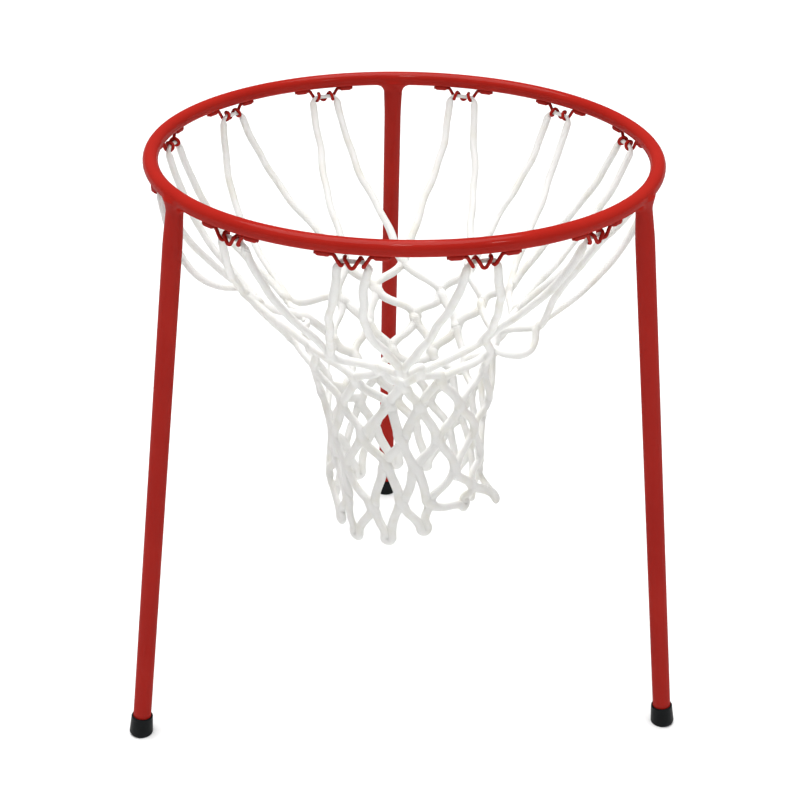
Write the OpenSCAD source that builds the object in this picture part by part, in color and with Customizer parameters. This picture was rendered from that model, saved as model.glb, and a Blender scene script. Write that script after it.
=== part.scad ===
// Free-standing floor basketball goal: a round bar ring on three splayed tube
// legs, twelve bent wire net hooks welded under the ring, and a white cord net.
// Millimetres, +Z up. The origin is the centre of the ring, on its centre line.

/* [Ring] */
// Clear inside diameter of the ring
ring_inside_d = 450; // [380:1:480]
// Diameter of the round bar that the ring is bent from
bar_d = 14; // [12:0.5:16]
// Height of the ring's centre line above the floor
ring_height = 550; // [500:1:900]

/* [Legs] */
// Outside diameter of a leg tube
leg_d = 17.5; // [14:0.5:18]
// Wall thickness of a leg tube
leg_wall = 1.5; // [1:0.1:3]
// Distance of the centre of each foot from the ring's axis
foot_r = 302; // [270:1:340]
// Depth of the leg's cut top below the ring's centre line
leg_top_drop = 3; // [2:0.5:5]
// Radius of the weld bead round the top of a leg
leg_bead_r = 2.4; // [1.5:0.1:3]

/* [Feet] */
// Outside diameter of a rubber ferrule at its rim
ferrule_top_d = 21; // [20:0.5:24]
// Outside diameter of a rubber ferrule above its rounded bottom
ferrule_bottom_d = 23; // [22:0.5:28]
// Height of a rubber ferrule's rim above the floor, along the leg
ferrule_h = 20; // [18:1:36]
// Thickness of rubber under the end of the tube
ferrule_sole = 6; // [5:0.5:8]
// Radius of the rounded edge at the bottom of a ferrule
ferrule_edge_r = 4; // [3:0.5:5]
// Thickness of the steel washer between the tube's end and the rubber
washer_t = 1.6; // [1:0.1:2]
// Diameter of the hole in that washer
washer_hole_d = 6; // [4:0.5:8]

/* [Net hooks] */
// Diameter of the hook wire
wire_d = 3.2; // [2.8:0.1:3.4]
// Distance of a curl's top below the welded ends of the wire
curl_top_drop = 2.6; // [2:0.1:3]
// Height of a curl, between the centres of the wire
curl_h = 7.4; // [7:0.1:8]
// Radius of the curl's quarter turns
curl_r = 3.2; // [3:0.1:3.4]
// Radius of the middle loop and of the bends at the welded ends
soft_bend_r = 2.4; // [2:0.1:2.6]
// Distance along the ring from a hook's middle to the top of a curl
curl_top_t = 6.4; // [6:0.1:7]
// Distance along the ring from a hook's middle to the bottom of a curl
curl_bottom_t = 9; // [8.8:0.1:9.5]
// Distance along the ring from a hook's middle to the start of a weld
weld_t = 16.5; // [16:0.1:18]
// Length of each end of the wire that is welded along the ring
weld_l = 15; // [12:1:18]
// Depth of the middle loop below the bottom of the curls
middle_extra = 1; // [0.5:0.1:2]
// Radius of the weld bead over each end of the wire
hook_bead_r = 3.3; // [3:0.1:3.6]
// Angle of the inner pair of hooks from the middle of the span between two legs
inner_hook_a = 13.3; // [12:0.1:15]
// Angle of the outer pair of hooks from the middle of the span between two legs
outer_hook_a = 41.5; // [38:0.1:43]

/* [Net] */
// Diameter of the net's cord where it passes through a hook
cord_d = 3.8; // [3:0.1:4]
// Radius of the net just below the hooks
net_top_r = 224; // [215:1:226]
// Radius of the net at its first row of knots
net_knot_r = 152; // [140:1:165]
// Radius of the net where its funnel meets its tube
net_neck_r = 78; // [70:1:85]
// Depth of the first row of knots below the ring's centre line
net_knot_z = 140; // [130:1:150]
// Depth of the neck below the ring's centre line
net_neck_z = 245; // [230:1:255]
// Depth of the net's bottom below the ring's centre line
net_bottom_z = 386; // [350:1:400]
// Thickness of the shells that stand for the net
net_t = 2; // [1.5:0.5:3]
// Clearance between two shells of the net that swing past each other
net_gap = 6; // [5:0.5:8]

/* [Hidden] */
$fn = 48;
// Clearance that keeps two pieces from sharing any volume
fit = 0.05;
ring_r = ring_inside_d / 2 + bar_d / 2;
leg_names = ["back", "left", "right"];
leg_angles = [90, 210, 330];
splay = atan((foot_r - ring_r) / ring_height);
leg_l = ring_height / cos(splay);
tube_start = ferrule_sole + washer_t + fit;
// Middles of the three spans between legs, each with four hooks
span_angles = [30, 150, 270];
hook_offsets = [-outer_hook_a, -inner_hook_a, inner_hook_a, outer_hook_a];
hook_angles = [for (s = span_angles) for (o = hook_offsets) s + o];
hook_names = [for (i = [1:len(hook_angles)]) str("hook_", i)];
// Heights of the hook wire's centre line
weld_z = -(bar_d / 2 + wire_d / 2 + fit);
curl_top_z = weld_z - curl_top_drop;
curl_bottom_z = curl_top_z - curl_h;
middle_z = curl_bottom_z - middle_extra;
// The cord lies in the middle of the curls and leaves them on their inner side
cord_z = (curl_top_z + curl_bottom_z) / 2;
cord_n = -curl_r - 0.6;
skirt_top_z = middle_z - wire_d / 2 - 3;
// Facets of the hook wire: its sides, and its angle for one step along a bend
wire_sides = 8;
wire_step = 23;

// ---- Ring and legs ----

module ring_bar(extra = 0) {
    rotate_extrude() translate([ring_r, 0]) circle(d = bar_d + 2 * extra);
}

module ring() {
    color("firebrick") ring_bar();
}

// Puts its children at a leg's foot, with +Z up along the leg's own axis
module on_leg(i) {
    rotate([0, 0, leg_angles[i]])
        translate([foot_r, 0, -ring_height])
        rotate([0, -splay, 0])
        children();
}

// A straight tube, cut to sit round the underside of the ring
module leg(i) {
    tube_l = leg_l - leg_top_drop - tube_start;
    color("firebrick") difference() {
        on_leg(i) translate([0, 0, tube_start]) difference() {
            cylinder(d = leg_d, h = tube_l);
            translate([0, 0, -1]) cylinder(d = leg_d - 2 * leg_wall, h = tube_l + 2);
        }
        ring_bar(fit);
    }
}

// The bead of weld round each leg's top
module leg_welds() {
    color("firebrick") for (i = [0:len(leg_names) - 1]) difference() {
        on_leg(i) translate([0, 0, leg_l - bar_d / 2 + 0.5])
            rotate_extrude() translate([leg_d / 2, 0]) circle(r = leg_bead_r);
        on_leg(i) translate([0, 0, leg_l - bar_d]) cylinder(d = leg_d + 2 * fit, h = 2 * bar_d);
        ring_bar(fit);
    }
}

// ---- Feet ----

// The steel washer that stops the tube from cutting through the rubber
module washer(i) {
    color("silver") on_leg(i) translate([0, 0, ferrule_sole + fit / 2]) difference() {
        cylinder(d = leg_d - 0.4, h = washer_t);
        translate([0, 0, -1]) cylinder(d = washer_hole_d, h = washer_t + 2);
    }
}

// Half the section of a ferrule, with a rounded edge at the bottom and at the rim
module ferrule_section() {
    bottom = -ferrule_edge_r;
    bottom_r = ferrule_bottom_d / 2;
    rim_r = ferrule_top_d / 2;
    rim_edge = 0.8;
    edge = [for (a = [-90:15:0]) [
        bottom_r - ferrule_edge_r * (1 - cos(a)),
        bottom + ferrule_edge_r * (1.6 + sin(a))
    ]];
    rim = [for (a = [0:30:90]) [
        rim_r - rim_edge * (1 - cos(a)),
        ferrule_h - rim_edge * (1 - sin(a))
    ]];
    polygon(concat([[0, edge[0][1]]], edge, rim, [[0, ferrule_h]]));
}

// A rubber ferrule pushed onto the tube, pressed flat where it meets the floor
module ferrule(i) {
    color("#1c1f22") difference() {
        on_leg(i) difference() {
            rotate_extrude() ferrule_section();
            translate([0, 0, ferrule_sole]) cylinder(d = leg_d + 2 * fit, h = ferrule_h);
        }
        translate([-foot_r * 2, -foot_r * 2, -ring_height - 50])
            cube([foot_r * 4, foot_r * 4, 50]);
    }
}

// ---- Net hooks ----

// The wire's route is worked out in a straight frame under the ring: [outward,
// along the ring, up]. A route is extended by an arc of radius r through angle a,
// from the heading d towards w, or by a straight, which needs only its end.
function arc(p, d, w, r, a) = [for (k = [0:1:ceil(a / wire_step)])
    let (b = a * k / ceil(a / wire_step)) p + r * sin(b) * d + r * (1 - cos(b)) * w];
function last(route) = route[len(route) - 1];

// Slope of a straight that leaves a bend of radius r and rises dz over dt
function slope(dt, dz, r) = asin(r / norm([dt, dz - r])) + atan2(dz - r, dt);
// Length of that straight
function slant(dt, dz, r) = sqrt(dt * dt + (dz - r) * (dz - r) - r * r);

// Headings of the slanted straights beside the middle loop and beside a weld
middle_a = slope(curl_top_t, curl_top_z - middle_z, soft_bend_r);
end_a = slope(weld_t - curl_bottom_t, weld_z - curl_bottom_z, soft_bend_r);
middle_d = [0, cos(middle_a), sin(middle_a)];
end_d = [0, cos(end_a), sin(end_a)];
inward = [-1, 0, 0];
// The inner side of a curl is a half turn that leans along the ring
curl_span = [0, curl_bottom_t - curl_top_t, -curl_h];

// Half a hook: from the bottom of its middle loop up to the top of a curl, down the
// curl's inner side, and up to the end that is welded along the ring
loop_arc = arc([0, 0, middle_z], [0, 1, 0], [0, 0, 1], soft_bend_r, middle_a);
curl_start = [0, curl_top_t, curl_top_z] - curl_r * middle_d;
top_arc = arc(curl_start, middle_d, inward, curl_r, 90);
inner_arc = arc(last(top_arc), inward, curl_span / norm(curl_span), norm(curl_span) / 2, 180);
bottom_arc = arc(last(inner_arc), -inward, end_d, curl_r, 90);
bend_start = [0, weld_t, weld_z]
    - soft_bend_r * (sin(end_a) * end_d + (1 - cos(end_a)) * [0, sin(end_a), -cos(end_a)]);
end_arc = arc(bend_start, end_d, [0, sin(end_a), -cos(end_a)], soft_bend_r, end_a);
weld_run = [for (k = [1:3]) [0, weld_t + weld_l * k / 3, weld_z]];
half_route = concat(loop_arc, top_arc, skip(inner_arc), skip(bottom_arc), end_arc, weld_run);

function skip(route) = [for (i = [1:len(route) - 1]) route[i]];
function mirrored(route) = [for (i = [len(route) - 1:-1:1]) [route[i][0], -route[i][1], route[i][2]]];
// Bends a route along the ring
function wrap(p) = let (a = p[1] / ring_r * 180 / PI)
    [(ring_r + p[0]) * cos(a), (ring_r + p[0]) * sin(a), p[2]];
hook_route = [for (p = concat(mirrored(half_route), half_route)) wrap(p)];

function unit(v) = v / norm(v);
function heading(route, i) =
    unit(route[min(i + 1, len(route) - 1)] - route[max(i - 1, 0)]);
// A direction square to the heading t and as close as possible to u
function squared(u, t) = unit(u - (u * t) * t);
// Side directions along a route, each turned as little as possible from the last
function sides(route) = [
    for (i = 0, u = squared([0, 0, 1], heading(route, 0));
        i < len(route);
        i = i + 1, u = i < len(route) ? squared(u, heading(route, i)) : u) u
];

// A wire of even thickness along a route, with flat ends
module wire(route) {
    u = sides(route);
    n = len(route);
    points = [for (i = [0:n - 1]) for (k = [0:wire_sides - 1])
        let (b = 360 * k / wire_sides, t = heading(route, i))
        route[i] + wire_d / 2 * (cos(b) * u[i] + sin(b) * cross(t, u[i]))];
    skin = [for (i = [0:n - 2]) for (k = [0:wire_sides - 1])
        let (k2 = (k + 1) % wire_sides, a = i * wire_sides, b = a + wire_sides)
        [a + k, b + k, b + k2, a + k2]];
    start_cap = [for (k = [0:wire_sides - 1]) k];
    end_cap = [for (k = [wire_sides - 1:-1:0]) (n - 1) * wire_sides + k];
    polyhedron(points, concat(skin, [start_cap, end_cap]));
}

module hook(i) {
    color("firebrick") rotate([0, 0, hook_angles[i]]) wire(hook_route);
}

// A bead of weld over one end of the wire: a round bar along the ring, with round
// ends
module hook_bead() {
    bead_l = weld_l - 1;
    rotate([0, 0, (weld_t + weld_l / 2) / ring_r * 180 / PI])
        translate([ring_r, 0, -bar_d / 2 - 0.9])
        rotate([90, 0, 0])
        rotate_extrude() intersection() {
            union() {
                for (s = [-1, 1]) translate([0, s * (bead_l / 2 - hook_bead_r)])
                    circle(r = hook_bead_r);
                square([2 * hook_bead_r, bead_l - 2 * hook_bead_r], center = true);
            }
            translate([0, -bead_l]) square([bead_l, 2 * bead_l]);
        }
}

// Both welds of every hook, cut out where the ring and the wire are
module hook_welds() {
    color("firebrick") for (a = hook_angles) for (m = [0, 1])
        difference() {
            rotate([0, 0, a]) mirror([0, m, 0]) hook_bead();
            rotate_extrude() translate([ring_r, weld_z]) circle(d = wire_d + 2 * fit);
            ring_bar(fit);
        }
}

// ---- Net ----

// A shell of revolution, between a point [radius, depth] at its top and others
// further down, given by its outer surface
module shell(outline) {
    inner = [for (i = [len(outline) - 1:-1:0]) [outline[i][0] - net_t, -outline[i][1]]];
    rotate_extrude() polygon(concat([for (p = outline) [p[0], -p[1]]], inner));
}

// Puts its children under the ring at a hook's place: +X outward, +Y along the ring
module at_hook(i) {
    rotate([0, 0, hook_angles[i]]) translate([ring_r, 0, 0]) children();
}

// A length of cord between two points, with round ends
module cord(p, q) {
    v = q - p;
    translate(p) rotate([0, acos(v[2] / norm(v)), atan2(v[1], v[0])]) cylinder(d = cord_d, h = norm(v));
    for (e = [p, q]) translate(e) sphere(d = cord_d);
}

// The long top loops, from the hooks to the first row of knots
module net_top() {
    loop_t = curl_bottom_t + 4.4;
    color("whitesmoke") {
        shell([[net_top_r, -skirt_top_z], [net_knot_r, net_knot_z]]);
        for (i = [0:len(hook_angles) - 1]) at_hook(i) {
            cord([cord_n, -loop_t, cord_z], [cord_n, loop_t, cord_z]);
            for (s = [-1, 1])
                cord([cord_n, s * loop_t, cord_z],
                     [net_top_r - ring_r - 1.5, s * loop_t, skirt_top_z - 2.5]);
        }
    }
}

// The diamonds of the funnel, which swing from the first row of knots
module net_middle() {
    color("whitesmoke") shell([
        [net_knot_r - net_t - net_gap, net_knot_z],
        [net_neck_r, net_neck_z]
    ]);
}

// The diamonds of the tube, which swing from the neck
module net_bottom() {
    tail_r = net_neck_r - net_t - net_gap;
    color("whitesmoke") shell([[tail_r, net_neck_z], [tail_r, net_bottom_z]]);
}

ring();
leg_welds();
for (i = [0:len(leg_names) - 1]) {
    leg(i);
    washer(i);
    ferrule(i);
}
for (i = [0:len(hook_names) - 1]) {
    hook(i);
}
hook_welds();
net_top();
net_middle();
net_bottom();
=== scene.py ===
import math

import bpy
import numpy as np
from mathutils import Matrix, Vector


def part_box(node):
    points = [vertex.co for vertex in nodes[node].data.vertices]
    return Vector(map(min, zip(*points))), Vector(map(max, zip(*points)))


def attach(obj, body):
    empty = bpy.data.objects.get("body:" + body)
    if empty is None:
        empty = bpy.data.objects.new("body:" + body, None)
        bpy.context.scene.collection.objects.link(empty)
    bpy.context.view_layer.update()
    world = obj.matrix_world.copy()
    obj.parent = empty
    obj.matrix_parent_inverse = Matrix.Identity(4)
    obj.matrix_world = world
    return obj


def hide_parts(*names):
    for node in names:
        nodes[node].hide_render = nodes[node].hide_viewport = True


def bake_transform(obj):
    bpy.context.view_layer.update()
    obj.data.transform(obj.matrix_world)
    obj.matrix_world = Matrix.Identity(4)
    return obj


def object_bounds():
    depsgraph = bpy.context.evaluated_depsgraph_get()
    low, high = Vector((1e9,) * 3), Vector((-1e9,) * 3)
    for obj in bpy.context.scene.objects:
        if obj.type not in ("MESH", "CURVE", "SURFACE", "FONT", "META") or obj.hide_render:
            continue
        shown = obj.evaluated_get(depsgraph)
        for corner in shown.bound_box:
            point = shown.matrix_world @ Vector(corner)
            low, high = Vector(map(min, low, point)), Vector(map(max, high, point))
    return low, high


# A free-standing floor basketball goal: red ring on three legs, wire hooks, cord net.
# Metres, +Z up. The frame's origin is the centre of the ring, on its centre line.

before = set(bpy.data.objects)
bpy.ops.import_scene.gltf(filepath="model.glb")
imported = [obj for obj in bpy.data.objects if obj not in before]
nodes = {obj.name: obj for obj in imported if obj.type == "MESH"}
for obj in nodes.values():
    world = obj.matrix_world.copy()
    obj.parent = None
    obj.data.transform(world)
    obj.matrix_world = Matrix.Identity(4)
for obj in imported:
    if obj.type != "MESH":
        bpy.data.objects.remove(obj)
cad_low, cad_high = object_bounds()

# ---- Sizes read from the frame ----

LEGS = ("back", "left", "right")
HOOKS = 12
HOOK_NODES = [f"hook_{i + 1}" for i in range(HOOKS)]
ring_low, ring_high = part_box("ring")
BAR_R = (ring_high.z - ring_low.z) / 2
RING_R = ring_high.x - BAR_R
FLOOR_Z = cad_low.z


def node_angle(name):
    """Angle round the ring's axis of the middle of a CAD node."""
    co = np.array([v.co for v in nodes[name].data.vertices])
    middle = co.mean(axis=0)
    return math.atan2(middle[1], middle[0])


HOOK_ANGLES = np.unwrap([node_angle(name) for name in HOOK_NODES]).tolist()


# ---- Camera ----

# The photo's camera, placed from the ring's centre. It looks down by its pitch.
SENSOR = 0.036
CAMERA_PLACE = Vector((-0.0772, -1.3809, 0.4795))
CAMERA_LENS = 0.07053
CAMERA_YAW = math.radians(-3.18)
CAMERA_PITCH = math.radians(28.136)
CAMERA_ROLL = math.radians(0.893)


def make_camera():
    data = bpy.data.cameras.new("camera")
    data.sensor_width = SENSOR * 1000
    data.lens = CAMERA_LENS * 1000
    camera = bpy.data.objects.new("camera", data)
    bpy.context.scene.collection.objects.link(camera)
    level = Vector((math.cos(CAMERA_YAW), math.sin(CAMERA_YAW), 0))
    ahead = Vector((-math.sin(CAMERA_YAW), math.cos(CAMERA_YAW), 0))
    forward = ahead * math.cos(CAMERA_PITCH) - Vector((0, 0, math.sin(CAMERA_PITCH)))
    upward = level.cross(forward)
    right = level * math.cos(CAMERA_ROLL) + upward * math.sin(CAMERA_ROLL)
    up = upward * math.cos(CAMERA_ROLL) - level * math.sin(CAMERA_ROLL)
    turn = Matrix((right, up, -forward)).transposed().to_4x4()
    camera.matrix_world = Matrix.Translation(CAMERA_PLACE) @ turn
    bpy.context.scene.camera = camera


# ---- Studio ----

WORLD_STRENGTH = 0.28
# The sun stands for a wide soft box overhead
SUN_SOURCE = Vector((-0.1, 0.1, 1.0))
SUN_SPREAD = math.radians(60)
SUN_STRENGTH = 4.2
# Round lamps that throw the gloss on the coat: place, diameter and watts
LAMPS = {
    "light_back": ((0.2, 1.6, 2.2), 0.3, 2.5),
    "light_front": ((-0.1, -1.3, 2.1), 0.25, 8),
    "light_right": ((1.25, -1.45, 1.55), 0.25, 5),
}
LAMP_TARGET = Vector((0, 0, -0.2))
FLOOR_SIZE = 30.0
FLOOR_GREY = 0.79
WALL_R = 14.0
WALL_H = 12.0
WALL_SIDES = 96


def add_light(data, source):
    """Adds a light that shines from the direction of the vector source."""
    light = bpy.data.objects.new(data.name, data)
    light.rotation_mode = "QUATERNION"
    light.rotation_quaternion = source.to_track_quat("Z", "Y")
    bpy.context.scene.collection.objects.link(light)
    return light


def make_lights():
    world = bpy.data.worlds.new("studio")
    world.use_nodes = True
    background = world.node_tree.nodes["Background"]
    background.inputs["Color"].default_value = (1.0, 1.0, 1.0, 1.0)
    background.inputs["Strength"].default_value = WORLD_STRENGTH
    bpy.context.scene.world = world
    sun = bpy.data.lights.new("light_sky", "SUN")
    sun.angle = SUN_SPREAD
    sun.energy = SUN_STRENGTH
    add_light(sun, SUN_SOURCE)
    for name, (place, size, watts) in LAMPS.items():
        lamp = bpy.data.lights.new(name, "AREA")
        lamp.shape = "DISK"
        lamp.size = size
        lamp.energy = watts
        add_light(lamp, Vector(place) - LAMP_TARGET).location = place


def stage_piece(name, corners, faces, material):
    mesh = bpy.data.meshes.new(name)
    mesh.from_pydata(corners, [], faces)
    mesh.materials.append(material)
    piece = bpy.data.objects.new(name, mesh)
    bpy.context.scene.collection.objects.link(piece)
    return piece


def make_floor():
    material, shader = new_material("floor_white")
    shader.inputs["Base Color"].default_value = (FLOOR_GREY, FLOOR_GREY, FLOOR_GREY, 1)
    shader.inputs["Roughness"].default_value = 1.0
    shader.inputs["Specular IOR Level"].default_value = 0.0
    h = FLOOR_SIZE / 2
    corners = [(-h, -h, FLOOR_Z), (h, -h, FLOOR_Z), (h, h, FLOOR_Z), (-h, h, FLOOR_Z)]
    stage_piece("floor", corners, [(0, 1, 2, 3)], material)


def make_wall():
    """A round white wall, which the camera sees but which throws no light."""
    material, shader = new_material("wall_white")
    shader.inputs["Base Color"].default_value = (0, 0, 0, 1)
    shader.inputs["Specular IOR Level"].default_value = 0.0
    shader.inputs["Emission Color"].default_value = (1, 1, 1, 1)
    shader.inputs["Emission Strength"].default_value = 1.0
    turns = [2 * math.pi * k / WALL_SIDES for k in range(WALL_SIDES)]
    ring = [(WALL_R * math.cos(t), WALL_R * math.sin(t)) for t in turns]
    corners = [(x, y, z) for z in (FLOOR_Z, FLOOR_Z + WALL_H) for x, y in ring]
    sides = [(k, (k + 1) % WALL_SIDES) for k in range(WALL_SIDES)]
    faces = [(a, b, b + WALL_SIDES, a + WALL_SIDES) for a, b in sides]
    wall = stage_piece("wall", corners, faces, material)
    wall.visible_diffuse = False
    wall.visible_glossy = False
    wall.visible_transmission = False
    wall.visible_shadow = False


def make_studio():
    bpy.context.scene.view_settings.view_transform = "Standard"
    make_lights()
    make_floor()
    make_wall()


# ---- Material helpers ----


def new_material(name):
    material = bpy.data.materials.new(name)
    material.use_nodes = True
    return material, material.node_tree.nodes["Principled BSDF"]


class Nodes:
    """Adds nodes to a material in short calls."""

    def __init__(self, material):
        self.tree = material.node_tree

    def add(self, kind, **values):
        node = self.tree.nodes.new(kind)
        for key, value in values.items():
            if hasattr(node, key):
                setattr(node, key, value)
            else:
                node.inputs[key.replace("_", " ")].default_value = value
        return node

    def link(self, out, to):
        self.tree.links.new(out, to)

    def place(self):
        return self.add("ShaderNodeTexCoord").outputs["Object"]

    def noise(self, vector, scale, detail=4.0, roughness=0.5):
        node = self.add("ShaderNodeTexNoise", Scale=scale, Detail=detail, Roughness=roughness)
        self.link(vector, node.inputs["Vector"])
        return node.outputs["Fac"]

    def ramp(self, value, *stops):
        """Stops are (place, grey) or (place, (r, g, b))."""
        node = self.add("ShaderNodeValToRGB")
        elements = node.color_ramp.elements
        while len(elements) < len(stops):
            elements.new(0.5)
        for element, (place, colour) in zip(elements, stops):
            element.position = place
            if not isinstance(colour, tuple):
                colour = (colour, colour, colour)
            element.color = (*colour, 1)
        self.link(value, node.inputs["Fac"])
        return node.outputs["Color"]

    def math(self, operation, a, b=None):
        node = self.add("ShaderNodeMath", operation=operation)
        for value, socket in zip((a, b), node.inputs):
            if isinstance(value, (int, float)):
                socket.default_value = value
            elif value is not None:
                self.link(value, socket)
        return node.outputs["Value"]

    def mix(self, share, a, b):
        """Colour between a and b, which are colours or sockets; share is a socket."""
        node = self.add("ShaderNodeMix", data_type="RGBA")
        # Of the node's sockets, 6 and 7 are the colours and 2 is the mixed colour
        self.link(share, node.inputs[0])
        for value, socket in ((a, node.inputs[6]), (b, node.inputs[7])):
            if isinstance(value, tuple):
                socket.default_value = (*value, 1)
            else:
                self.link(value, socket)
        return node.outputs[2]

    def bump(self, height, distance, under=None):
        node = self.add("ShaderNodeBump", Strength=1.0, Distance=distance)
        self.link(height, node.inputs["Height"])
        if under is not None:
            self.link(under, node.inputs["Normal"])
        return node.outputs["Normal"]


# ---- Materials ----

RED_DEEP = (0.308, 0.0115, 0.0075)
RED_BRIGHT = (0.345, 0.0150, 0.0095)
# Dark red for the grime specks, and also for the painted shade in corners
RED_GRIME_AND_SHADE = (0.22, 0.007, 0.005)
# Reach of the painted corner shade
CORNER_REACH = 0.008
PEEL = 0.00012
WELD_LUMPS = 0.0003


def red_coat(name, lumps=0.0):
    """Glossy red powder coat: cloudy colour, painted shade in its corners, dark specks of grime, and a
    fine orange peel.
    The gloss is all in the clear coat, so that the red stays deep at grazing angles."""
    material, shader = new_material(name)
    n = Nodes(material)
    place = n.place()
    cloud = n.ramp(n.noise(place, 14, 5), (0.3, RED_DEEP), (0.7, RED_BRIGHT))
    # Painted shade: an ambient occlusion mask darkens the colour in corners and where parts meet
    corner = n.add("ShaderNodeAmbientOcclusion", samples=4, Distance=CORNER_REACH)
    corner_shade = n.ramp(corner.outputs["AO"], (0.25, 0.5), (0.8, 0.0))
    speck = n.ramp(n.noise(place, 160, 2), (0.66, 0.0), (0.72, 0.12))
    colour = n.mix(n.math("MAXIMUM", corner_shade, speck), cloud, RED_GRIME_AND_SHADE)
    n.link(colour, shader.inputs["Base Color"])
    n.link(n.ramp(n.noise(place, 45, 4), (0.3, 0.16), (0.7, 0.24)), shader.inputs["Roughness"])
    normal = n.bump(n.noise(place, 420, 3), PEEL)
    if lumps:
        normal = n.bump(n.noise(place, 170, 3, 0.6), lumps, under=normal)
    n.link(normal, shader.inputs["Normal"])
    shader.inputs["Specular IOR Level"].default_value = 0.0
    shader.inputs["Coat Weight"].default_value = 0.15
    shader.inputs["Coat Roughness"].default_value = 0.09
    return material


RUBBER_CLEAN = (0.0025, 0.0035, 0.004)
RUBBER_DUSTY = (0.007, 0.009, 0.010)


def black_rubber():
    """Moulded black rubber, a little dusty and scuffed."""
    material, shader = new_material("black_rubber")
    n = Nodes(material)
    place = n.place()
    dust = n.ramp(n.noise(place, 60, 8, 0.65), (0.45, 0.0), (0.75, 1.0))
    n.link(n.mix(dust, RUBBER_CLEAN, RUBBER_DUSTY), shader.inputs["Base Color"])
    shader.inputs["Specular IOR Level"].default_value = 0.10
    n.link(n.ramp(dust, (0.0, 0.42), (1.0, 0.66)), shader.inputs["Roughness"])
    fine = n.bump(n.noise(place, 900, 3), 0.00012)
    n.link(n.bump(n.noise(place, 90, 3), 0.0003, under=fine), shader.inputs["Normal"])
    return material


ZINC_DARK = (0.42, 0.43, 0.45)
ZINC_LIGHT = (0.62, 0.63, 0.64)
ROLLING_STRETCH = 14


def zinc_steel():
    """Pressed, zinc-plated washer steel with fine rolling lines."""
    material, shader = new_material("zinc_steel")
    n = Nodes(material)
    stretch = n.add("ShaderNodeMapping")
    stretch.inputs["Scale"].default_value = (1, ROLLING_STRETCH, 1)
    n.link(n.place(), stretch.inputs["Vector"])
    lines = n.noise(stretch.outputs["Vector"], 300, 4)
    n.link(n.ramp(lines, (0.3, ZINC_DARK), (0.7, ZINC_LIGHT)), shader.inputs["Base Color"])
    n.link(n.ramp(lines, (0.3, 0.28), (0.7, 0.48)), shader.inputs["Roughness"])
    n.link(n.bump(lines, 0.00005), shader.inputs["Normal"])
    shader.inputs["Metallic"].default_value = 1.0
    return material


CORD_CLEAN = (0.85, 0.85, 0.83)
# Colour of the painted shade in the grooves between the plaits
CORD_GROOVE_SHADE = (0.715, 0.715, 0.695)
CORD_STAIN = (0.74, 0.72, 0.62)
# Plaits round the cord, and their length along it
BRAID_AROUND = 8
BRAID_PITCH = 0.0022


def net_cord():
    """Braided white cord: crossing plaits along each cord's own length, painted shade in the grooves
    between the plaits, and faint stains.
    """
    material, shader = new_material("net_cord")
    n = Nodes(material)
    place = n.place()
    uv = n.add("ShaderNodeUVMap", uv_map="cord")
    split = n.add("ShaderNodeSeparateXYZ")
    n.link(uv.outputs["UV"], split.inputs["Vector"])
    along = n.math("MULTIPLY", split.outputs["X"], math.pi / BRAID_PITCH)
    around = n.math("MULTIPLY", split.outputs["Y"], math.pi * BRAID_AROUND)
    left = n.math("ABSOLUTE", n.math("SINE", n.math("ADD", around, along)))
    right = n.math("ABSOLUTE", n.math("SINE", n.math("SUBTRACT", around, along)))
    plait = n.math("MULTIPLY", left, right)
    stain = n.ramp(n.noise(place, 38, 6, 0.7), (0.48, 0.0), (0.70, 0.6))
    # Painted shade: the colour darkens in the grooves between the plaits
    groove_shade = n.ramp(plait, (0.0, 0.45), (0.35, 0.0))
    clean = n.mix(groove_shade, CORD_CLEAN, CORD_GROOVE_SHADE)
    n.link(n.mix(stain, clean, CORD_STAIN), shader.inputs["Base Color"])
    n.link(n.ramp(n.noise(place, 400, 3), (0.3, 0.55), (0.7, 0.75)), shader.inputs["Roughness"])
    fibres = n.bump(n.noise(place, 1500, 3), 0.0002)
    n.link(n.bump(plait, 0.0004, under=fibres), shader.inputs["Normal"])
    shader.inputs["Specular IOR Level"].default_value = 0.15
    shader.inputs["Subsurface Weight"].default_value = 0.15
    shader.inputs["Subsurface Radius"].default_value = (1, 1, 1)
    shader.inputs["Subsurface Scale"].default_value = 0.002
    return material


# ---- Mesh helpers ----

# Two directions whose cross product is shorter than this are nearly parallel
PARALLEL = 0.15


def unit(v):
    return v / np.linalg.norm(v)


def smooth(x):
    """0 below 0, 1 above 1, and an even curve between them."""
    x = np.clip(x, 0, 1)
    return x * x * (3 - 2 * x)


def polar(angle, radius, z):
    return np.array([radius * math.cos(angle), radius * math.sin(angle), z])


def lengths_along(points):
    """The length of the line from its start to each of its points."""
    return np.concatenate([[0], np.cumsum(np.linalg.norm(np.diff(points, axis=0), axis=1))])


def tube_quads(rows, sides):
    """Faces between rows of vertices that each close round a tube."""
    i = np.arange(rows - 1)[:, None] * sides
    k = np.arange(sides)[None, :]
    beside = (k + 1) % sides
    return np.stack([i + k, i + beside, i + beside + sides, i + k + sides], -1).reshape(-1, 4)


def directions_across(heading, facing):
    """At each point of a line, the direction across it and across facing. Without
    facing it turns as little as it can from point to point."""
    across = np.zeros_like(heading)
    up = np.array([0.0, 0.0, 1.0])
    for i in range(len(heading)):
        side = np.cross(heading[i], up if facing is None else facing[i])
        if np.linalg.norm(side) < PARALLEL:
            side = across[i - 1] if i else np.cross(heading[i], [1.0, 0.0, 0.0])
        side = unit(side - (side @ heading[i]) * heading[i])
        if i and side @ across[i - 1] < 0:
            side = -side
        across[i] = side
        up = np.cross(side, heading[i])
    return across


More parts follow.
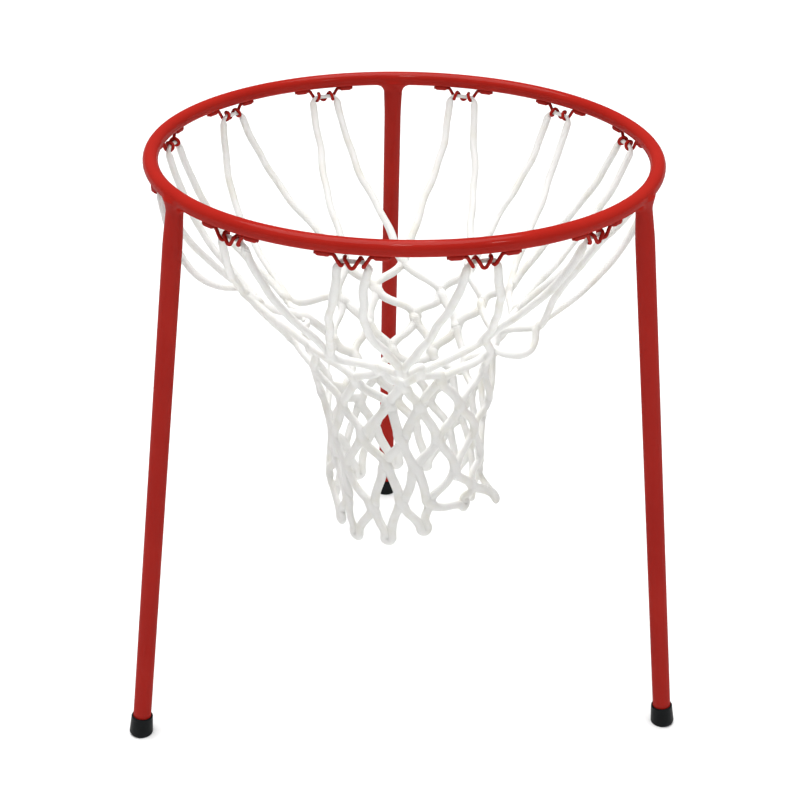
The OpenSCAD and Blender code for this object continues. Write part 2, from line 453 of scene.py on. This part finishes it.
def sweep(points, wide, thick, sides, facing=None):
    """Vertices, faces, UVs and end caps of a solid along points. wide and thick are its
    half widths across and along facing, one for each point. In the UVs, u is metres
    along it and v is the share of a turn round it."""
    count = len(points)
    heading = np.gradient(points, axis=0)
    heading /= np.linalg.norm(heading, axis=1)[:, None]
    across = directions_across(heading, facing)
    lift = np.cross(across, heading)
    turn = np.linspace(0, 2 * math.pi, sides, endpoint=False)
    rings = (
        points[:, None, :]
        + across[:, None, :] * (np.cos(turn)[None, :, None] * wide[:, None, None])
        + lift[:, None, :] * (np.sin(turn)[None, :, None] * thick[:, None, None])
    )
    run = lengths_along(points)
    u0, u1 = np.repeat(run[:-1], sides), np.repeat(run[1:], sides)
    v0 = np.tile(np.arange(sides) / sides, count - 1)
    v1 = v0 + 1 / sides
    uvs = np.stack([u0, v0, u0, v1, u1, v1, u1, v0], -1).reshape(-1, 2)
    end = np.arange(sides)
    caps = [end[::-1], (count - 1) * sides + end]
    return rings.reshape(-1, 3), tube_quads(count, sides), uvs, caps


def mesh_piece(name, parts, material):
    """One object from several parts, each of vertices, faces, UVs and end caps."""
    vertices, corners, starts, uvs = [], [], [], []
    vertex_count, corner_count = 0, 0
    for points, quads, part_uvs, caps in parts:
        vertices.append(points)
        corners.append((quads + vertex_count).ravel())
        starts.append(corner_count + 4 * np.arange(len(quads)))
        uvs.append(part_uvs)
        corner_count += 4 * len(quads)
        for cap in caps:
            corners.append(cap + vertex_count)
            starts.append(np.array([corner_count]))
            uvs.append(np.zeros((len(cap), 2)))
            corner_count += len(cap)
        vertex_count += len(points)
    vertices, corners = np.concatenate(vertices), np.concatenate(corners)
    starts, uvs = np.concatenate(starts), np.concatenate(uvs)
    mesh = bpy.data.meshes.new(name)
    mesh.vertices.add(len(vertices))
    mesh.vertices.foreach_set("co", vertices.astype(np.float32).ravel())
    mesh.loops.add(len(corners))
    mesh.loops.foreach_set("vertex_index", corners.astype(np.int32))
    mesh.polygons.add(len(starts))
    mesh.polygons.foreach_set("loop_start", starts.astype(np.int32))
    mesh.update(calc_edges=True)
    layer = mesh.uv_layers.new(name="cord")
    layer.data.foreach_set("uv", uvs.astype(np.float32).ravel())
    mesh.shade_smooth()
    mesh.materials.append(material)
    piece = bpy.data.objects.new(name, mesh)
    bpy.context.scene.collection.objects.link(piece)
    return piece


# ---- Net hooks ----

WIRE_R = 0.0016
WIRE_SIDES = 16
WIRE_STEP = math.radians(9)
# The wire's straight ends run along the underside of the bar
WELD_START = 0.0165
WELD_L = 0.015
WELD_STEPS = 6
WELD_Z = -(BAR_R + WIRE_R)
# Each curl leaves the hook's plane at its top and comes back at its low end, which are
# given along the ring and up. The middle loop hangs a little lower.
CURL_R = 0.0032
CURL_TOP = (0.0064, WELD_Z - 0.0026)
CURL_LOW = (0.009, CURL_TOP[1] - 0.0074)
MIDDLE_Z = CURL_LOW[1] - 0.001
SOFT_BEND_R = 0.0024


def arc(start, heading, towards, radius, angle):
    """Points along an arc that leaves start along heading and turns towards."""
    steps = max(2, math.ceil(angle / WIRE_STEP))
    turns = [angle * k / steps for k in range(steps + 1)]
    return [start + radius * math.sin(t) * heading + radius * (1 - math.cos(t)) * towards for t in turns]


def slope(run, rise, radius):
    """Slope of a straight that leaves a bend of that radius and climbs rise over run."""
    return math.asin(radius / math.hypot(run, rise - radius)) + math.atan2(rise - radius, run)


def hook_route():
    """The wire's line in a straight frame under the ring: outward, along the ring, up."""
    middle_a = slope(CURL_TOP[0], CURL_TOP[1] - MIDDLE_Z, SOFT_BEND_R)
    end_a = slope(WELD_START - CURL_LOW[0], WELD_Z - CURL_LOW[1], SOFT_BEND_R)
    middle_d = np.array([0, math.cos(middle_a), math.sin(middle_a)])
    end_d = np.array([0, math.cos(end_a), math.sin(end_a)])
    end_w = np.array([0, math.sin(end_a), -math.cos(end_a)])
    inward, up = np.array([-1.0, 0, 0]), np.array([0, 0, 1.0])
    along = np.array([0, 1.0, 0])
    span = np.array([0, CURL_LOW[0] - CURL_TOP[0], CURL_LOW[1] - CURL_TOP[1]])
    span_l = np.linalg.norm(span)
    loop = arc(np.array([0, 0, MIDDLE_Z]), along, up, SOFT_BEND_R, middle_a)
    top = arc(np.array([0, *CURL_TOP]) - CURL_R * middle_d, middle_d, inward, CURL_R, math.pi / 2)
    inner = arc(top[-1], inward, span / span_l, span_l / 2, math.pi)
    low = arc(inner[-1], -inward, end_d, CURL_R, math.pi / 2)
    weld = np.array([0, WELD_START, WELD_Z])
    bend = weld - SOFT_BEND_R * (math.sin(end_a) * end_d + (1 - math.cos(end_a)) * end_w)
    end = arc(bend, end_d, end_w, SOFT_BEND_R, end_a)
    run = [weld + along * WELD_L * k / WELD_STEPS for k in range(1, WELD_STEPS + 1)]
    half = loop + top[1:] + inner[1:] + low[1:] + end + run
    return [p * np.array([1, -1, 1]) for p in half[:0:-1]] + half


def make_hooks(material):
    route = np.array(hook_route())
    for name, middle in zip(HOOK_NODES, HOOK_ANGLES):
        points = np.array([polar(middle + p[1] / RING_R, RING_R + p[0], p[2]) for p in route])
        half = np.full(len(points), WIRE_R)
        hook = mesh_piece("wire_" + name, [sweep(points, half, half, WIRE_SIDES)], material)
        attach(hook, "stand")
        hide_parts(name)


# ---- Legs ----

FOOT_R = 0.302
LEG_R = 0.00875
LEG_SIDES = 64
LEG_STEPS = 30
# The tube stops this far short of the floor, along the leg, inside its ferrule
LEG_END = 0.008
# The top of each leg is squeezed: wider along the ring and thinner across it
SQUEEZE_L = 0.045
SQUEEZE_STEPS = 40
SQUEEZED_WIDE = 0.0100
SQUEEZED_THICK = 0.0067


def leg_axis(name):
    """Top of the leg on the ring's centre line, its heading down, and outward."""
    angle = node_angle("leg_" + name)
    top = polar(angle, RING_R, 0)
    return top, unit(polar(angle, FOOT_R, FLOOR_Z) - top), polar(angle, 1, 0)


def leg_section(down):
    """Half widths of a leg along and across the ring, at a depth along the leg."""
    share = smooth(1 - down / SQUEEZE_L)
    return LEG_R + (SQUEEZED_WIDE - LEG_R) * share, LEG_R + (SQUEEZED_THICK - LEG_R) * share


def make_leg(name, material):
    top, heading, outward = leg_axis(name)
    length = FLOOR_Z / heading[2] - LEG_END
    squeezed = np.linspace(0, SQUEEZE_L, SQUEEZE_STEPS)
    down = np.concatenate([squeezed, np.linspace(SQUEEZE_L, length, LEG_STEPS)[1:]])
    points = top + down[:, None] * heading
    wide, thick = leg_section(down)
    facing = np.tile(outward, (len(points), 1))
    leg = mesh_piece("tube_" + name, [sweep(points, wide, thick, LEG_SIDES, facing)], material)
    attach(leg, "stand")
    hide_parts("leg_" + name)


# ---- Joints of the legs and the ring ----

# Size of the fillet between leg and ring, and the depth over which it sets in at the
# leg's top
FILLET = 0.010
FILLET_START = 0.006
# A joint's skin reaches this far from its middle, and lies this far outside its parts
SKIN_REACH = 0.026
SKIN = 0.00012
SKIN_ROWS = 72
SKIN_COLUMNS = 96
# The first and last rows of the skin are this far from its poles, in radians
SKIN_POLE = 0.02
HALVINGS = 24


def joint_gap(points, top, heading, outward):
    """How far points are outside the smooth union of the ring and a leg."""
    ring = np.hypot(np.hypot(points[:, 0], points[:, 1]) - RING_R, points[:, 2]) - BAR_R
    local = points - top
    down = local @ heading
    tangent = np.cross(heading, outward)
    a, b = local @ unit(tangent), local @ unit(np.cross(tangent, heading))
    wide, thick = leg_section(down)
    # The distance to an ellipse, from its value and its slope
    k0 = np.hypot(a / wide, b / thick)
    k1 = np.hypot(a / wide**2, b / thick**2) + 1e-9
    leg = np.maximum(k0 * (k0 - 1) / k1, -down)
    near = np.clip(1 - np.abs(ring - leg) / FILLET, 0, 1)
    blend = near * np.clip(0.5 + down / FILLET_START, 0, 1)
    return np.minimum(ring, leg) - blend**2 * FILLET / 4


def joint_skin(name):
    """A skin round a leg's top, made of rays from the middle of the joint."""
    top, heading, outward = leg_axis(name)
    tangent = unit(np.cross(heading, outward))
    across = np.cross(tangent, heading)
    tilt = np.linspace(SKIN_POLE, math.pi - SKIN_POLE, SKIN_ROWS)[:, None]
    turn = np.linspace(0, 2 * math.pi, SKIN_COLUMNS, endpoint=False)[None, :]
    rays = (
        np.cos(tilt + 0 * turn)[..., None] * heading
        + (np.sin(tilt) * np.cos(turn))[..., None] * tangent
        + (np.sin(tilt) * np.sin(turn))[..., None] * across
    ).reshape(-1, 3)
    near, far = np.zeros(len(rays)), np.full(len(rays), SKIN_REACH)
    for _ in range(HALVINGS):
        middle = (near + far) / 2
        inside = joint_gap(top + rays * middle[:, None], top, heading, outward) < -SKIN
        near, far = np.where(inside, middle, near), np.where(inside, far, middle)
    # The rows run the other way round than a tube's, so each face is turned over
    quads = np.roll(tube_quads(SKIN_ROWS, SKIN_COLUMNS)[:, ::-1], 1, axis=1)
    end = np.arange(SKIN_COLUMNS)
    caps = [end, (SKIN_ROWS - 1) * SKIN_COLUMNS + end[::-1]]
    return top + rays * near[:, None], quads, np.zeros((4 * len(quads), 2)), caps


def make_joints(material):
    joints = mesh_piece("leg_joints", [joint_skin(name) for name in LEGS], material)
    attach(joints, "stand")
    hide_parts("leg_welds")


# ---- Net: places of its knots ----

ROWS = 7
COLUMNS = 2 * HOOKS
# Radius and depth of each row of knots, and last of the bottom tips
ROW_PLACES = [
    (0.125, 0.163), (0.107, 0.186), (0.092, 0.213), (0.081, 0.246),
    (0.077, 0.277), (0.076, 0.308), (0.075, 0.340), (0.073, 0.378),
]
# The first knots hang under the hooks. From this row down they stand evenly round the
# axis instead.
EVEN_ROW = 4
# The back of the net is turned clockwise by this many degrees, seen from above, and
# the knots in the back of its tube hang this much higher than the front's
BACK_TURN = 9
BACK_RISE = 0.014
# The net hangs over to the right, by this much at this depth and below it
LEAN = 0.006
LEAN_DEPTH = 0.25
# How far at most each knot is off its even place: in degrees round the axis, and in
# metres outward and down
UNEVEN_TURN = 1.8
UNEVEN = 0.003
# A knot: half its length, half the distance between its cords, and how far each
# cord stands out of the net where they cross
KNOT_HALF = 0.0065
KNOT_SIDE = 0.0031
KNOT_OUT = 0.0010
# Where the cord leaves a hook: along the ring, outward from the bar's centre line, up
HOOK_EXIT = (0.0134, -0.0046, -0.0205)
# The cord's way through the curls, from the middle of a hook to its exit
HOOK_WAY = [(0.005, -0.0038, -0.01495), (0.0095, -0.0040, -0.0155)]
# Knots that hang further out of place. The key is row and column, in half steps of a
# hook; the values are degrees round the axis, mm outward and mm down.
PULLS = {
    (1, 1): (2, -11, -2), (1, 9): (-4, 0, -5), (1, 11): (5, 8, 9), (1, 13): (-6, 23, -7),
    (1, 15): (-10, 36, -45), (1, 17): (-8, 3, -8), (1, 19): (-6, 0, 0), (1, 21): (5, 0, -26),
    (1, 23): (0, 15, -18),
    (2, 0): (-2, -14, -8), (2, 10): (-5, 0, 2), (2, 14): (0, 6, -11), (2, 16): (-10, 9, -17),
    (2, 18): (-4, 0, -13), (2, 20): (-10, 0, -15), (2, 22): (0, -5, -12),
    (3, 1): (0, -3, -4), (3, 3): (-9, 0, 0), (3, 11): (-5, 0, 6), (3, 13): (0, 10, -24),
    (3, 15): (-7, 4, -11), (3, 17): (-3, 0, -13), (3, 19): (-5, 0, -19), (3, 21): (-13, 0, -24),
    (3, 23): (-1, -7, -8),
    (4, 14): (1, 5, -10), (4, 16): (-7, 0, -11), (4, 18): (-1, 0, -24), (4, 20): (-9, 0, -23),
    (4, 22): (-11, 0, -15),
    (5, 15): (-7, 0, 5), (5, 17): (-7, 0, -14), (5, 19): (-5, 0, -18), (5, 21): (-11, 0, -12),
    (5, 23): (-3, 0, -5),
    (6, 14): (-1, 0, 8), (6, 16): (-10, 0, 2), (6, 18): (-4, 0, -18), (6, 20): (-13, 0, -14),
    (6, 22): (-8, 0, -5),
    (7, 15): (7, 0, 6), (7, 17): (2, 0, 1), (7, 19): (-5, 0, -8), (7, 21): (-15, 0, -1),
    (7, 23): (-2, 0, -3),
    (8, 0): (4, 22, -14), (8, 14): (12, 0, -5), (8, 16): (-1, 0, 4), (8, 18): (-1, 0, -1),
    (8, 20): (-5, 0, -11), (8, 22): (10, 0, -24),
}
# Slack stretches. The key is row and column of the knot above, and the side that the
# stretch goes to; the values are mm outward, round the axis and down.
SLACK = {
    (0, 0, -1): (3, 0, 10), (0, 10, -1): (4, 0, 6), (0, 10, 1): (10, 6, 4), (0, 12, -1): (3, 0, 12),
    (0, 12, 1): (3, 0, 10), (0, 14, -1): (2, 0, 7), (0, 14, 1): (6, 0, 26), (0, 18, 1): (0, -16, 2),
    (0, 22, 1): (-10, 0, 0),
    (1, 23, -1): (12, 0, 11),
}


def chance(*key):
    """A fixed number from 0 to 1 for each key, which looks random."""
    x = math.sin(sum((i + 1) * 12.9898 * (v + 0.37) for i, v in enumerate(key))) * 43758.5453
    return x - math.floor(x)


def spread(scale, *key):
    """A fixed number from -scale to scale for each key."""
    return scale * (2 * chance(*key) - 1)


def hook_angle_at(u):
    """Angle of place u along the row of hooks, where hook i is at u = i."""
    i = math.floor(u)
    first = HOOK_ANGLES[i % HOOKS] + 2 * math.pi * (i // HOOKS)
    gap = (HOOK_ANGLES[(i + 1) % HOOKS] - HOOK_ANGLES[i % HOOKS]) % (2 * math.pi)
    return first + gap * (u - i)


def knot_place(row, column):
    """Where a knot hangs, or a tip in the row below the last. Odd rows have odd columns."""
    even = smooth(row / EVEN_ROW)
    even_angle = math.radians(360 / COLUMNS * (column - 1))
    angle = (1 - even) * hook_angle_at(column / 2) + even * even_angle
    back = even * max(math.sin(angle), 0)
    angle -= math.radians(BACK_TURN) * back
    radius, depth = ROW_PLACES[row - 1]
    if EVEN_ROW < row <= ROWS:
        depth -= BACK_RISE * back
    c = column % COLUMNS
    turn, out, down = PULLS.get((row, c), (0, 0, 0))
    angle += math.radians(turn + spread(UNEVEN_TURN, row, c, 1))
    radius += out / 1000 + spread(UNEVEN, row, c, 2)
    depth += down / 1000 + spread(UNEVEN, row, c, 3)
    place = polar(angle, radius, -depth)
    place[0] += LEAN * smooth(depth / LEAN_DEPTH)
    return place


def at_hook(i, along, out, z):
    return polar(HOOK_ANGLES[i % HOOKS] + along / RING_R, RING_R + out, z)


def hook_exit(i, side):
    return at_hook(i, side * HOOK_EXIT[0], HOOK_EXIT[1], HOOK_EXIT[2])


def place_above(row, column, side):
    """Where the cord that enters a knot from one side comes from."""
    if row == 1:
        return hook_exit((column + side) // 2, -side)
    return knot_place(row - 1, column + side)


class Knot:
    """Where two cords cross, with its directions down the net, round it and out of it."""

    def __init__(self, row, column):
        self.place = knot_place(row, column)
        above = (place_above(row, column, -1) + place_above(row, column, 1)) / 2
        below = self.place
        if row <= ROWS:
            below = (knot_place(row + 1, column - 1) + knot_place(row + 1, column + 1)) / 2
        self.down = unit(below - above)
        radial = unit(self.place * np.array([1, 1, 0]))
        self.round = unit(np.cross(self.down, radial))
        if self.round @ np.array([-radial[1], radial[0], 0]) < 0:
            self.round = -self.round
        self.out = unit(np.cross(self.round, self.down))
        if self.out @ radial < 0:
            self.out = -self.out

    def enter(self, side):
        return self.place - self.down * KNOT_HALF - self.round * side * KNOT_SIDE

    def leave(self, side):
        return self.place + self.down * KNOT_HALF + self.round * side * KNOT_SIDE


# ---- Net: the cord's line ----

# How much a cord's heading is turned down where it leaves a hook, and in the hook
EXIT_DROP = 0.5
HOOK_DROP = 0.35
# How much it is turned down the net at the ends of a knot, and in the neck of a tip
KNOT_STEER = 0.35
TIP_STEER = 0.8
# A tip: the length of its neck, and the half width and depth of its turn as shares of
# KNOT_SIDE
TIP_L = 0.007
TIP_WIDE = 1.15
TIP_DEEP = 1.2
# How far the middle of a stretch hangs off the straight line: for each of outward, round
# the axis and down, the mean and the most that it differs, in mm
HOOK_BELLY = ((0, 3), (0, 5), (4, 2))
NET_BELLY = ((0.4, 1.6), (0, 1.4), (0.4, 1.0))
# A point this far on round the ring gives the ring's direction
AHEAD = 0.001
# The handles of a stretch, as a share of its length
HANDLE = 0.36
CORD_STEP = 0.0012
# Real cord never hangs quite even. From this depth down, and fully at twice the depth,
# it moves to and fro round the net in waves: share of WANDER, radians a metre, start.
WANDER_START = 0.03
WANDER = 0.0011
WAVES = ((1, 61, 0), (0.6, 137, 2))


def descend(i, side):
    """Stations (point, heading, key of the stretch after it) from hook i to its tip."""
    knots = [Knot(row, 2 * i + side * row) for row in range(1, ROWS + 1)]
    tip = Knot(ROWS + 1, 2 * i + side * (ROWS + 1))
    start = hook_exit(i, side)
    first = unit(knots[0].enter(side) - start)
    heading = unit(first - np.array([0, 0, EXIT_DROP]))
    stations = [(start, heading, (0, 2 * i % COLUMNS, side))]
    before = start
    for row, knot in enumerate(knots, 1):
        after = knots[row].enter(side) if row < ROWS else tip.place
        key = (row, (2 * i + side * row) % COLUMNS, side)
        into = unit(unit(knot.enter(side) - before) + KNOT_STEER * knot.down)
        out_of = unit(unit(after - knot.leave(side)) + KNOT_STEER * knot.down)
        through = unit(knot.down * KNOT_HALF + knot.round * side * KNOT_SIDE)
        stations.append((knot.enter(side), into, None))
        stations.append((knot.place + knot.out * side * KNOT_OUT, through, None))
        stations.append((knot.leave(side), out_of, key))
        before = knot.leave(side)
    neck = tip.place - tip.down * TIP_L - tip.round * side * KNOT_SIDE
    stations.append((neck, unit(unit(neck - before) + TIP_STEER * tip.down), None))
    stations.append((tip.place - tip.round * side * KNOT_SIDE * TIP_WIDE, tip.down, None))
    return stations, tip


def reverse(stations):
    """The same stations from the tip up to the hook."""
    keys = [station[2] for station in stations[:-1]][::-1] + [None]
    return [(point, -heading, key) for (point, heading, _), key in zip(stations[::-1], keys)]


def over_hook(i):
    """Stations through the two curls of hook i."""
    stations = []
    for side in (-1, 1):
        for along, out, z in HOOK_WAY[::side]:
            point = at_hook(i, side * along, out, z)
            heading = unit(at_hook(i, side * along + AHEAD, out, z) - point)
            if along > HOOK_WAY[0][0]:
                heading = unit(heading - np.array([0, 0, HOOK_DROP * side]))
            stations.append((point, heading, None))
    return stations


def belly(key, start, end):
    """How far the middle of a stretch hangs off the straight line."""
    if key is None:
        return np.zeros(3)
    radial = unit((start + end) * np.array([1, 1, 0]))
    tangent = np.array([-radial[1], radial[0], 0])
    usual = HOOK_BELLY if key[0] == 0 else NET_BELLY
    moves = [mean + spread(most, *key, 4 + k) for k, (mean, most) in enumerate(usual)]
    out, turn, down = SLACK.get(key, moves)
    return (radial * out + tangent * turn - np.array([0, 0, down])) / 1000


def bend(a, b):
    """Points of the smooth stretch between two stations, without its last."""
    (start, out_of, key), (end, into, _) = a, b
    length = np.linalg.norm(end - start)
    # The middle of a cubic moves by 3/4 of what its two handles move
    sag = belly(key, start, end) * 4 / 3
    one = start + out_of * HANDLE * length + sag
    two = end - into * HANDLE * length + sag
    steps = max(int(length / (CORD_STEP / 2)), 4)
    t = np.linspace(0, 1, steps, endpoint=False)[:, None]
    return (1 - t) ** 3 * start + 3 * (1 - t) ** 2 * t * one + 3 * (1 - t) * t * t * two + t**3 * end


def cord_loops():
    """The net's closed loops of cord. Each goes over a hook, down to a tip on its far
    side, up to the hook eight further on, and so on until it closes."""
    left, loops = set(range(HOOKS)), []
    while left:
        i, stations = min(left), []
        while i in left:
            left.remove(i)
            down, tip = descend(i, 1)
            across = (i + ROWS + 1) % HOOKS
            up, _ = descend(across, -1)
            turn = (tip.place + tip.down * KNOT_SIDE * TIP_DEEP, tip.round, None)
            stations += over_hook(i) + down + [turn] + reverse(up)
            i = across
        dense = np.concatenate([bend(a, b) for a, b in zip(stations, stations[1:] + stations[:1])])
        loops.append(wander(even_steps(np.concatenate([dense, dense[:1]]))))
    return loops


def wander(points):
    """Moves a closed cord to and fro round the net, except in the hooks."""
    place = np.arange(len(points)) * CORD_STEP
    free = np.clip((-points[:, 2] - WANDER_START) / WANDER_START, 0, 1)
    sway = WANDER * free * sum(share * np.sin(place * pace + start) for share, pace, start in WAVES)
    tangent = np.stack([-points[:, 1], points[:, 0], 0 * place], 1)
    return points + sway[:, None] * tangent / np.linalg.norm(tangent, axis=1)[:, None]


def even_steps(points):
    """A closed line with its points CORD_STEP apart; the first is repeated last."""
    run = lengths_along(points)
    steps = np.linspace(0, run[-1], int(run[-1] / CORD_STEP) + 1)
    return np.stack([np.interp(steps, run, points[:, k]) for k in range(3)], 1)


# ---- Net: its cord ----

# Half widths of the cord, across the net and out of it, and in a hook's squeeze
CORD_WIDE = 0.0038
CORD_THICK = 0.0035
HOOK_CORD_R = 0.0019
CORD_SIDES = 12
# The squeeze begins at this depth, and is full this much higher
SQUEEZE_Z = 0.0215
SQUEEZE_FADE = 0.004
# The cord grows flatter in the tube, from this depth and over this much more
TUBE_Z = 0.11
TUBE_FADE = 0.10
TUBE_WIDER = 0.24
TUBE_THINNER = 0.10
# It is wider within this reach of a knot, and wider still in the tube's knots
KNOT_REACH = 0.012
KNOT_WIDER = 0.10
TUBE_KNOT_WIDER = 0.25
# Uneven wear along it, as shares of its half widths and in radians a metre
WORN_WIDE = 0.06
WORN_THICK = 0.04
WORN_PACES = (92, 31)
# The net is cut here into two pieces, because a piece can bend at one hinge only
CUT_Z = -0.215


def near_knot(points):
    """1 in the middle of a knot, falling to 0 where its cords have parted."""
    places = [(row, column) for row in range(1, ROWS + 1) for column in range(row % 2, COLUMNS, 2)]
    knots = np.array([knot_place(row, column) for row, column in places])
    apart = np.linalg.norm(points[:, None, :] - knots[None, :, :], axis=2).min(axis=1)
    return smooth(1 - apart / KNOT_REACH)


def cord_section(points):
    """Half widths of the cord: across the net, and out of it."""
    depth = -points[:, 2]
    place = np.arange(len(points)) * CORD_STEP
    worn = np.sin(place * WORN_PACES[0]) * np.sin(place * WORN_PACES[1] + 1)
    in_tube = np.clip((depth - TUBE_Z) / TUBE_FADE, 0, 1)
    knot_wider = (KNOT_WIDER + TUBE_KNOT_WIDER * in_tube) * near_knot(points)
    wide = CORD_WIDE * (1 + TUBE_WIDER * in_tube + knot_wider + WORN_WIDE * worn)
    thick = CORD_THICK * (1 - TUBE_THINNER * in_tube - WORN_THICK * worn)
    squeezed = np.clip((SQUEEZE_Z - depth) / SQUEEZE_FADE, 0, 1)
    return [half * (1 - squeezed) + HOOK_CORD_R * squeezed for half in (wide, thick)]


def runs_of(keep):
    """The runs of places round a closed line for which keep is true. It can't be true
    all the way round."""
    start = int(np.argmin(keep))
    runs, run = [], []
    for k in range(len(keep) + 1):
        place = (start + k) % len(keep)
        if keep[place]:
            run.append(place)
        elif run:
            runs.append(np.array(run))
            run = []
    return runs


def cord_parts(points):
    """Parts of one loop of cord: those above the cut and those below it. The upper ones
    are a point longer at both ends, so that the two overlap."""
    wide, thick = cord_section(points)
    facing = points * np.array([1, 1, 0])
    facing /= np.linalg.norm(facing, axis=1)[:, None]
    count = len(points) - 1
    above = points[:count, 2] > CUT_Z
    upper = [np.array([run[0] - 1, *run, run[-1] + 1]) % count for run in runs_of(above)]
    return [
        [sweep(points[run], wide[run], thick[run], CORD_SIDES, facing[run]) for run in runs]
        for runs in (upper, runs_of(~above))
    ]


def make_net(material):
    funnel, tube = [], []
    loops = cord_loops()
    for points in loops:
        upper, lower = cord_parts(points)
        funnel += upper
        tube += lower
    top = mesh_piece("net_funnel", funnel, material)
    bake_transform(top)
    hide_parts("net_top", "net_middle")
    low = mesh_piece("net_tube", tube, material)
    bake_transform(low)
    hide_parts("net_bottom")
    print("net cord loops, metres:", [round(lengths_along(points)[-1], 3) for points in loops])


# ---- Stand ----


def paint(name, material):
    """Gives a CAD node that stays as it is its material."""
    node = nodes[name]
    node.data.materials.clear()
    node.data.materials.append(material)


def make_stand():
    coat = red_coat("red_coat")
    weld = red_coat("red_weld", lumps=WELD_LUMPS)
    rubber = black_rubber()
    steel = zinc_steel()
    paint("ring", coat)
    paint("hook_welds", weld)
    make_joints(weld)
    for leg in LEGS:
        make_leg(leg, coat)
        paint("ferrule_" + leg, rubber)
        paint("washer_" + leg, steel)
    make_hooks(coat)


make_camera()
make_studio()
make_stand()
make_net(net_cord())
